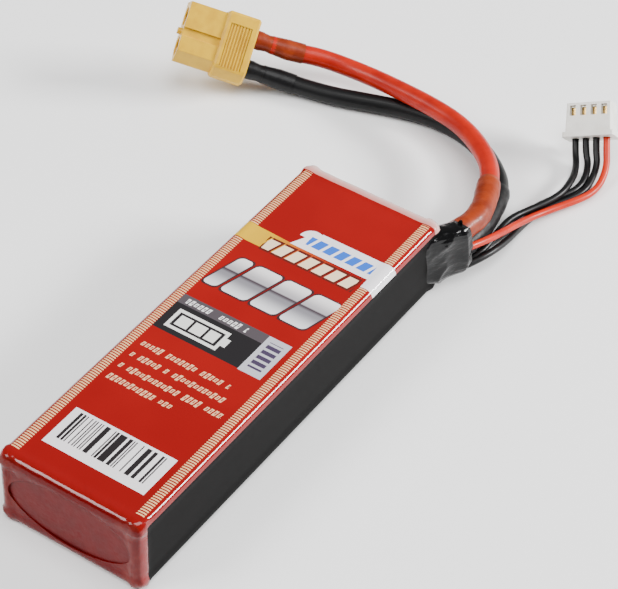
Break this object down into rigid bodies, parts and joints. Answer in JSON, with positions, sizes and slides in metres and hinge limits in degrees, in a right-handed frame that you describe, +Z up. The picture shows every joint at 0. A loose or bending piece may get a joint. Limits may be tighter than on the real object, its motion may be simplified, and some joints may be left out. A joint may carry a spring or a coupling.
{
  "type": "lithium polymer battery pack",
  "caption": "Slim rectangular pouch-cell battery pack in glossy heat-shrunk film, with two thick leads to a keyed power plug and thin balance wires to a small plug.",
  "frame": {"origin": "centre of the pack's flat base, without the leads and plugs", "axes": "+Y along the pack's length towards the end that the leads leave, +X across its width towards the leads' corner, +Z up through its thickness, away from the base"},
  "size_m": [0.1039, 0.1711, 0.0213],
  "materials": {
    "cell_foil": "embossed laminate foil",
    "pad_foam": "closed-cell foam",
    "tab_aluminium": "rolled strip",
    "tab_nickel": "rolled strip",
    "board_laminate": "glass laminate",
    "copper": "bare copper",
    "solder": "reflowed solder",
    "amber_tape": "polyimide tape",
    "red_end_panel": "printed sheet",
    "black_sheet": "printed sheet",
    "card": "pressed card",
    "printed_label": "printed, glossy",
    "clear_film": "heat-shrunk film",
    "black_film": "heat-shrunk film",
    "red_insulation": "silicone",
    "black_insulation": "silicone",
    "red_sleeve": "heat-shrink sleeve",
    "black_sleeve": "heat-shrink sleeve",
    "yellow_nylon": "moulded",
    "gold_plate": "gold plated",
    "ivory_nylon": "moulded",
    "tinned_brass": "tinned"
  },
  "bodies": {
    "root": {"cell_1": "cell_foil", "cell_2": "cell_foil", "cell_3": "cell_foil", "cell_pad_1": "pad_foam", "cell_pad_2": "pad_foam", "positive_tabs": "tab_aluminium", "negative_tabs": "tab_nickel", "tab_board": "board_laminate", "series_links": "copper", "solder_joints": "solder", "board_tape": "amber_tape", "near_end_pad": "red_end_panel", "far_end_pad": "pad_foam", "bottom_label": "black_sheet", "stiffening_card": "card", "top_label": "printed_label", "side_strip_left": "black_sheet", "side_strip_right": "black_sheet", "shrink_wrap": "clear_film", "lead_boot": "black_film", "positive_lead": "red_insulation", "negative_lead": "black_insulation", "positive_root_sleeve": "red_sleeve", "negative_root_sleeve": "black_sleeve", "positive_plug_sleeve": "red_sleeve", "negative_plug_sleeve": "black_sleeve", "power_plug_housing": "yellow_nylon", "positive_socket": "gold_plate", "negative_socket": "gold_plate", "balance_plug_housing": "ivory_nylon", "balance_terminals": "tinned_brass", "balance_wire_black_1": "black_insulation", "balance_wire_black_2": "black_insulation", "balance_wire_black_3": "black_insulation", "balance_wire_red": "red_insulation"}
  },
  "joints": []
}
